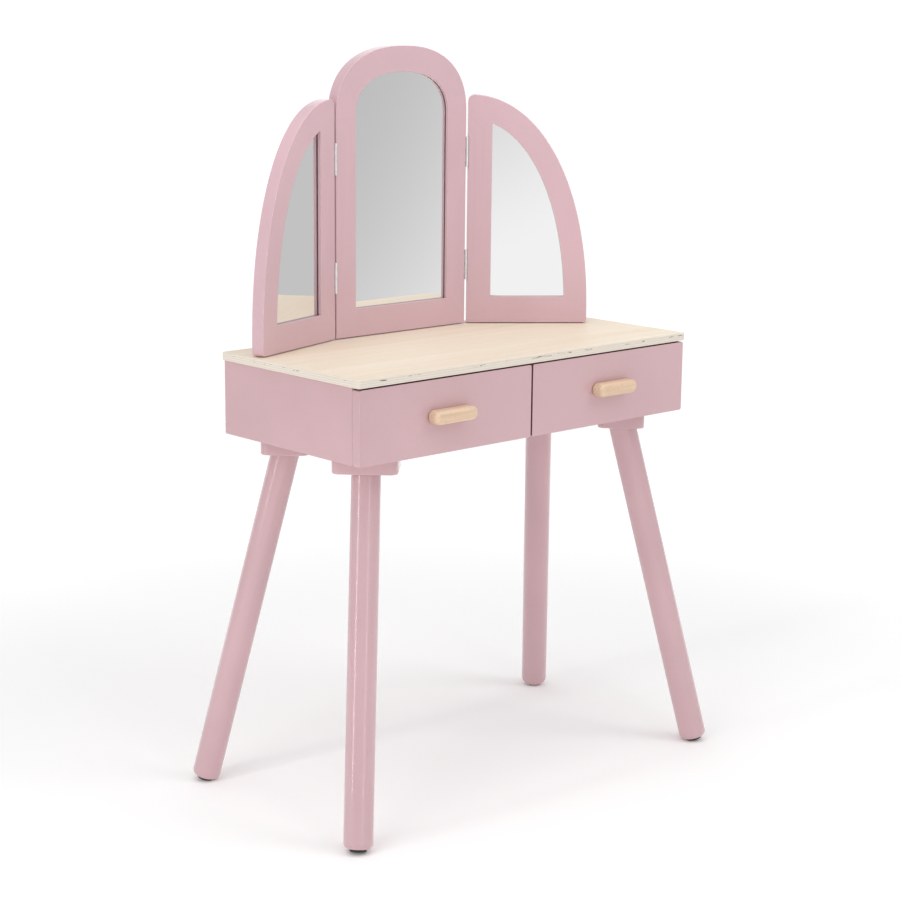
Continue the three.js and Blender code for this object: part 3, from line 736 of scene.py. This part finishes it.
def wing_opening(margin, count=48):
    """A wing's opening, let out by a margin, with as many points as the outline."""
    curve = quarter_arch(
        WING_LENGTH - WING_BORDER + margin, WING_RISE - WING_STILE + margin, WING_SPRING_Z, WING_POWER, 400,
    )
    stile, sill = WING_STILE - margin, WING_SILL_Z - margin
    turned = WING_OPENING_CORNER
    inside = [p for p in curve if p[0] > stile + turned and p[1] > sill + turned]
    foot_u = next(a[0] for a, b in zip(curve, curve[1:]) if b[1] > sill)
    foot = arc(foot_u - turned, sill + turned, turned, -math.pi / 2, math.pi / 2, 6)
    top = inside[-1][1]
    corner = []
    for i in range(9):  # the narrow rounded corner at the opening's top
        a = math.pi / 2 * i / 8
        height = 0.55 * math.cos(a) - 0.9 * (1 - math.cos(a))
        corner.append((stile + turned * (1 - math.sin(a)) * 0.98, top + turned * height))
    line = resample([foot[-1], *inside[:-1], corner[0]], count)
    return [(stile, sill), *foot[:-1], *line, *corner[1:]]


def frame_ring(name, outer, opening, rebate, matrix):
    """A mirror frame as one closed ring: front face, eased front edges, sides, back face and stepped rebate.
    Each loop is a list of (x, z) with matching points; y runs from 0 at the front to the thickness."""
    loops, side, arris = [], [], []

    def add(outline, shrink, depth, on_side, wear_and_highlight):
        loops.append([(x, depth, z) for x, z in (inset(outline, shrink) if abs(shrink) > 1e-9 else outline)])
        side.append(on_side)
        arris.append(wear_and_highlight)

    for shrink, depth, wear_and_highlight in rounding(FRAME_ARRIS, 4):
        add(outer, shrink, depth, 1 - shrink / FRAME_ARRIS, wear_and_highlight)
    for shrink, depth, wear_and_highlight in reversed(rounding(FRAME_BACK_ARRIS, 3)):
        add(outer, shrink, FRAME_THICKNESS - depth, 1 - shrink / FRAME_BACK_ARRIS, wear_and_highlight)
    add(rebate, 0, FRAME_THICKNESS, 0, 0.3)
    add(rebate, 0, LIP, 1, 0)
    add(opening, 0, LIP, 1, 0)
    for shrink, depth, wear_and_highlight in reversed(rounding(LIP_ARRIS, 3)):
        add(opening, -shrink, depth, 1 - shrink / LIP_ARRIS, wear_and_highlight)
    count, rings = len(outer), len(loops)
    points = [matrix @ Vector(p) for loop in loops for p in loop]
    faces = []
    for k in range(rings):
        following = (k + 1) % rings
        for i in range(count):
            j = (i + 1) % count
            faces.append((k * count + i, k * count + j, following * count + j, following * count + i))
    flat_side = [value for value in side for _ in range(count)]
    flat_arris = [value for value in arris for _ in range(count)]
    return build(name, points, faces, flat_side, flat_arris)


def mortise(matrix, x0, x1, z):
    """A cutter for a hinge leaf's recess, in the frame of the frame board it cuts."""
    half = HINGE_LENGTH / 2 + MORTISE_PLAY
    depth = HINGE_AXIS_Y - FRAME_FRONT + LEAF_DEPTH + MORTISE_PLAY
    tool = board("mortise", rectangle(x0, x1, -2 * MM, depth), z - half, z + half, 0.02 * MM)
    tool.data.transform(matrix)
    return tool


def hinge_levels():
    """(name, height of the middle) of the lower and the upper hinges, which are alike on both sides."""
    for level in ("lower", "upper"):
        low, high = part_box(f"left_{level}_hinge_pin")
        yield level, (low.z + high.z) / 2


def make_filling(name, body, outline, matrix, pane_node, backer_node):
    """The pane in the frame's rebate, and the backing board behind it."""
    base = matrix @ UPRIGHT
    front = LIP + GAP
    pane = board(name + "_glass", outline, front + SILVER_DEPTH, front + PANE, PANE_EASE, base)
    place(pane, body, silvered, "mirror_glass", pane_node)
    start = front + PANE + GAP
    back = board(name + "_backing_board", outline, start, start + BACKER, PANE_EASE, base)
    place(back, body, fibre_board, "hardboard", backer_node)


def make_centre_mirror():
    matrix = Matrix.Translation((0, FRAME_FRONT, 0))
    made = frame_ring(
        "centre_mirror_arched_frame", centre_outline(0, MIRROR_FLOOR),
        centre_outline(CENTRE_BORDER, CENTRE_SILL_Z),
        centre_outline(CENTRE_BORDER - REBATE, CENTRE_SILL_Z - REBATE), matrix,
    )
    edge = CENTRE_HALF_WIDTH - MORTISE_DEPTH
    tools = [
        mortise(matrix, *sorted((side * edge, side * (edge + MORTISE_REACH))), z)
        for _, side in SIDES for _, z in hinge_levels()
    ]
    cut(made, *tools)
    place(made, "table", pink_paint_lit_for_frames, "pink_paint", "centre_mirror_frame")
    seat = centre_outline(CENTRE_BORDER - REBATE + GAP, CENTRE_SILL_Z - REBATE + GAP)
    make_filling("centre_mirror", "table", seat, matrix, "centre_mirror_pane", "centre_mirror_backer")


def wing_matrix(hand, side):
    """Puts a wing drawn flat, with its hinge axis on the z axis, at its place and fold."""
    place_at = Matrix.Translation((side * HINGE_AXIS_X, HINGE_AXIS_Y, 0))
    return place_at @ Matrix.Rotation(-side * FOLD[hand], 4, "Z")


def make_wing(hand, side):
    body = hand + "_wing"
    matrix = wing_matrix(hand, side)
    edge = HINGE_AXIS_X - CENTRE_HALF_WIDTH
    front = FRAME_FRONT - HINGE_AXIS_Y
    inner = matrix @ Matrix.Translation((0, front, 0))

    def drawn(points):
        """The wing's (u, z) points as (x, z) from the hinge axis, mirrored for the left wing."""
        made = [(side * (u + edge), z) for u, z in points]
        return made if side > 0 else [made[0], *reversed(made[1:])]

    made = frame_ring(
        f"{body}_quarter_arch_frame", drawn(wing_outline()), drawn(wing_opening(0)),
        drawn(wing_opening(REBATE)), inner,
    )
    start = edge + MORTISE_DEPTH
    tools = [
        mortise(inner, *sorted((side * start, side * (start - MORTISE_REACH))), z) for _, z in hinge_levels()
    ]
    cut(made, *tools)
    place(made, body, pink_paint_lit_for_frames, "pink_paint", body + "_frame")
    seat = drawn(wing_opening(REBATE - GAP))
    make_filling(body + "_mirror", body, seat, inner, body + "_pane", body + "_backer")


# ---------- Hinges ----------

def leaf_mesh(name, side, first, matrix):
    """A pressed leaf: a plate whose front edge is rolled into every second knuckle."""
    half = HINGE_LENGTH / 2
    pitch = HINGE_LENGTH / KNUCKLES
    inner, outer = LEAF_SETBACK, LEAF_SETBACK + LEAF_THICKNESS
    radius = KNUCKLE_RADIUS - LEAF_THICKNESS / 2
    play = 0.1 * MM
    spans = []
    for i in range(first, KNUCKLES, 2):
        spans.append((-half + i * pitch + play, -half + (i + 1) * pitch - play))
    levels = sorted({-half, half, *[z for span in spans for z in span]})
    bore = radius - LEAF_THICKNESS / 2
    rim = radius + LEAF_THICKNESS / 2
    path = []
    for k in range(23):
        turn = math.radians(-330 * k / 22)
        cosine, sine = math.cos(turn), math.sin(turn)
        path.append((bore * cosine, bore * sine, rim * cosine, rim * sine))
    points, faces, index = [], [], {}

    def vertex(x, y, z):
        key = (round(x, 7), round(y, 7), round(z, 7))
        if key not in index:
            index[key] = len(points)
            points.append(matrix @ Vector((side * x, y, z)))
        return index[key]

    def quad(a, b, c, d):
        faces.append((vertex(*a), vertex(*b), vertex(*c), vertex(*d)))

    def end_strip(y, za, zb):
        quad((inner, y, za), (outer, y, za), (outer, y, zb), (inner, y, zb))

    for za, zb in zip(levels, levels[1:]):
        for x in (inner, outer):
            quad((x, LEAF_RELIEF, za), (x, LEAF_DEPTH, za), (x, LEAF_DEPTH, zb), (x, LEAF_RELIEF, zb))
        end_strip(LEAF_DEPTH, za, zb)
        if not any(a - 1e-9 <= za and zb <= b + 1e-9 for a, b in spans):
            end_strip(LEAF_RELIEF, za, zb)
            continue
        line = [(inner, LEAF_RELIEF, outer, LEAF_RELIEF), *path]
        for (ax, ay, bx, by), (cx, cy, dx, dy) in zip(line, line[1:]):
            quad((ax, ay, za), (cx, cy, za), (cx, cy, zb), (ax, ay, zb))
            quad((bx, by, za), (dx, dy, za), (dx, dy, zb), (bx, by, zb))
            for z in (za, zb):
                quad((ax, ay, z), (cx, cy, z), (dx, dy, z), (bx, by, z))
        ax, ay, bx, by = line[-1]
        quad((ax, ay, za), (bx, by, za), (bx, by, zb), (ax, ay, zb))
    for z in (-half, half):
        quad((inner, LEAF_RELIEF, z), (outer, LEAF_RELIEF, z), (outer, LEAF_DEPTH, z), (inner, LEAF_DEPTH, z))
    return build(name, points, faces)


def leaf_screws(name, side, matrix):
    """Three countersunk heads, flush with the leaf's open face, each with a cross recess."""
    made = None
    outwards = Matrix.Rotation(-side * math.pi / 2, 4, "Y")
    recess = {"reach": 1.1 * MM, "half_width": 0.25 * MM, "low": -0.2 * MM, "high": 1 * MM, "ease": 0.02 * MM}
    profile = [(0, -0.6 * MM), (1.1 * MM, -0.6 * MM), (1.9 * MM, 0)]
    profile += [(1.6 * MM, 0.12 * MM), (0.8 * MM, 0.2 * MM), (0, 0.2 * MM)]
    for z in (-LEAF_SCREW_SPACING, 0, LEAF_SCREW_SPACING):
        y = LEAF_SCREW_Y if z else LEAF_MIDDLE_SCREW_Y
        at = matrix @ Matrix.Translation((side * LEAF_SETBACK, y, z)) @ outwards
        head = lathe(name, profile, 24, at)
        cut(head, *cross(at, (0.5, 0.5 + math.pi / 2), **recess))
        if made is None:
            made = head
        else:
            work = bmesh.new()
            work.from_mesh(made.data)
            work.from_mesh(head.data)
            work.to_mesh(made.data)
            work.free()
            bpy.data.objects.remove(head)
    return made


def make_hinges(hand, side):
    for level, z in hinge_levels():
        name = f"{hand}_{level}_hinge"
        fixed = Matrix.Translation((side * HINGE_AXIS_X, HINGE_AXIS_Y, z))
        moving = wing_matrix(hand, side) @ Matrix.Translation((0, 0, z))
        for part, body, away, first, matrix in (
            ("fixed_leaf", "table", -side, 0, fixed), ("wing_leaf", hand + "_wing", side, 1, moving),
        ):
            leaf = leaf_mesh(f"{name}_{part}_rolled", away, first, matrix)
            place(leaf, body, zinc, "steel", f"{name}_{part}", angle=40)
            screws = leaf_screws(f"{name}_{part}_screws", away, matrix)
            place(screws, body, zinc, "steel")
        low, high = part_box(name + "_pin")
        half = (high.z - low.z) / 2
        r = (high.x - low.x) / 2
        dome = [(r * math.sin(t), half - r * 0.6 * (1 - math.cos(t))) for t in (0.3, 0.7, 1.1, math.pi / 2)]
        profile = [(0, -half), *((x, -h) for x, h in dome), *((x, h) for x, h in reversed(dome)), (0, half)]
        pin = lathe(name + "_pin_rod", profile, 24, fixed)
        place(pin, "table", zinc, "steel", name + "_pin")


def keep_hidden_fasteners():
    """The bolts and screws buried in the wood keep their CAD shape and take a plated finish."""
    for name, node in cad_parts.items():
        if name.startswith("leg_bolt") or name.startswith("mirror_screw"):
            node.data.materials.clear()
            node.data.materials.append(hidden_zinc)


# ---------- Floor, light and camera ----------

# Soft round areas of the surround: azimuth and elevation, the radii within which an area is whole and
# beyond which it is gone, in degrees, and its brightness. Azimuth 0 is +X and 90 is +Y, the back.
SURROUND = (
    (158, -8, 25, 62, 0.48),  # shades the side panel and the legs' inner sides
    (-80, 11.5, 32, 41, 0.58),  # seen in the centre mirror
    (-9, -3, 14, 34, 0.61),  # seen in the left mirror
    (-130, 3, 3, 10.8, 0.72),  # its rim is seen in the right mirror
    (50, -8, 28, 60, 1.06),  # what the camera looks at
)
# Each soft box: name, place, aim, width, height and power in watts.
LIGHTS = (
    ("overhead", (-0.2, -0.2, 2.6), (0, 0, 0.4), 2.2, 2.2, 21),
    ("right_key", (1.15, -1.75, 2.2), (0, 0, 0.5), 1.2, 1.2, 12.5),
    ("left_key", (-2.4, -0.55, 2.3), (0, 0, 0.5), 1.4, 1.4, 12.5),
    ("left_strip", (-2.4, 0.12, 0.75), (-0.2, -0.05, 0.4), 0.11, 1.3, 8.5),
    ("front_strip", (-0.62, -2.5, 0.7), (-0.2, 0, 0.4), 0.08, 1.3, 4),
)
CAMERA_PLACE, CAMERA_YAW, CAMERA_PITCH = (-1.55505, -1.68132, 0.87037), 39.91, 12.18
LENS, SENSOR_WIDTH, SHIFT_X = 81.01, 36, 0.0997
FLOOR_RADIUS, FLOOR_SIDES = 2.4, 96


def make_floor():
    """A pale round floor that glows a little away from the table and fades out towards its rim."""
    points = [(0.0, 0.0, 0.0)]
    for i in range(FLOOR_SIDES):
        turn = 2 * math.pi * i / FLOOR_SIDES
        points.append((FLOOR_RADIUS * math.cos(turn), FLOOR_RADIUS * math.sin(turn), 0.0))
    faces = [(0, 1 + i, 1 + (i + 1) % FLOOR_SIDES) for i in range(FLOOR_SIDES)]
    mesh = bpy.data.meshes.new("floor")
    mesh.from_pydata(points, [], faces)
    floor = bpy.data.objects.new("floor", mesh)
    bpy.context.scene.collection.objects.link(floor)
    n = Nodes("pale_floor")
    where = n.add("ShaderNodeTexCoord").outputs["Object"]
    length = n.add("ShaderNodeVectorMath", operation="LENGTH")
    n.link(where, length.inputs[0])
    away = length.outputs["Value"]
    grain = n.ramp(n.noise(where, 60, 4), (0.3, 0.95), (0.7, 0.965))
    n.feed(n.surface.inputs["Base Color"], grain)
    n.feed(n.surface.inputs["Roughness"], 0.9)
    n.feed(n.surface.inputs["Specular IOR Level"], 0.05)
    n.feed(n.surface.inputs["Emission Color"], (1.0, 1.0, 1.0))
    glow = n.maths("MULTIPLY_ADD", n.fade(away, 0.6, 1.5), 0.22, 0.07)
    n.feed(n.surface.inputs["Emission Strength"], glow)
    n.feed(n.surface.inputs["Alpha"], n.fade(away, 2.3, 1.6))
    mesh.materials.append(n.material)


def make_world():
    """A pale surround, dimmer above the horizon than below, with the soft areas of SURROUND."""
    world = bpy.data.worlds.new("studio")
    bpy.context.scene.world = world
    world.use_nodes = True
    n = Nodes("studio", world.node_tree)
    where = n.add("ShaderNodeTexCoord").outputs["Generated"]
    split = n.add("ShaderNodeSeparateXYZ")
    n.link(where, split.inputs[0])

    def cone(azimuth, elevation, inner, outer):
        """1 within some degrees of a direction, and 0 beyond some more."""
        a, e = math.radians(azimuth), math.radians(elevation)
        dot = n.add("ShaderNodeVectorMath", operation="DOT_PRODUCT")
        dot.inputs[1].default_value = (math.cos(e) * math.cos(a), math.cos(e) * math.sin(a), math.sin(e))
        n.link(where, dot.inputs[0])
        return n.fade(dot.outputs["Value"], math.cos(math.radians(outer)), math.cos(math.radians(inner)))

    light = n.mix("MIX", n.fade(split.outputs["Z"], 0.08, -0.04), (0.52, 0.52, 0.52), (1.0, 1.0, 1.0))
    for azimuth, elevation, inner, outer, grey in SURROUND:
        light = n.mix("MIX", cone(azimuth, elevation, inner, outer), light, (grey, grey, grey))
    n.link(light, world.node_tree.nodes["Background"].inputs["Color"])


def area_light(name, place_at, aim, width, height, power):
    data = bpy.data.lights.new(name, "AREA")
    data.shape = "RECTANGLE"
    data.size, data.size_y = width, height
    data.energy = power
    lamp = bpy.data.objects.new(name, data)
    lamp.location = place_at
    lamp.rotation_euler = (Vector(aim) - Vector(place_at)).to_track_quat("-Z", "Y").to_euler()
    bpy.context.scene.collection.objects.link(lamp)


def make_camera():
    data = bpy.data.cameras.new("camera")
    data.lens = LENS
    data.sensor_width = SENSOR_WIDTH
    data.shift_x = SHIFT_X
    data.clip_start, data.clip_end = 0.05, 60
    camera = bpy.data.objects.new("camera", data)
    camera.location = CAMERA_PLACE
    yaw, pitch = math.radians(CAMERA_YAW), math.radians(CAMERA_PITCH)
    forward = Vector((math.sin(yaw) * math.cos(pitch), math.cos(yaw) * math.cos(pitch), -math.sin(pitch)))
    camera.rotation_mode = "QUATERNION"
    camera.rotation_quaternion = forward.to_track_quat("-Z", "Y")
    bpy.context.scene.collection.objects.link(camera)
    bpy.context.scene.camera = camera


make_camera()
make_tabletop()
make_case()
for end, sy in (("front", -1), ("back", 1)):
    for hand, sx in SIDES:
        make_leg(f"{end}_{hand}", sx, sy)
for hand, side in SIDES:
    make_drawer(hand)
    make_wing(hand, side)
    make_hinges(hand, side)
make_centre_mirror()
keep_hidden_fasteners()

make_floor()
make_world()
for settings in LIGHTS:
    area_light(*settings)
bpy.context.scene.view_settings.view_transform = "Standard"
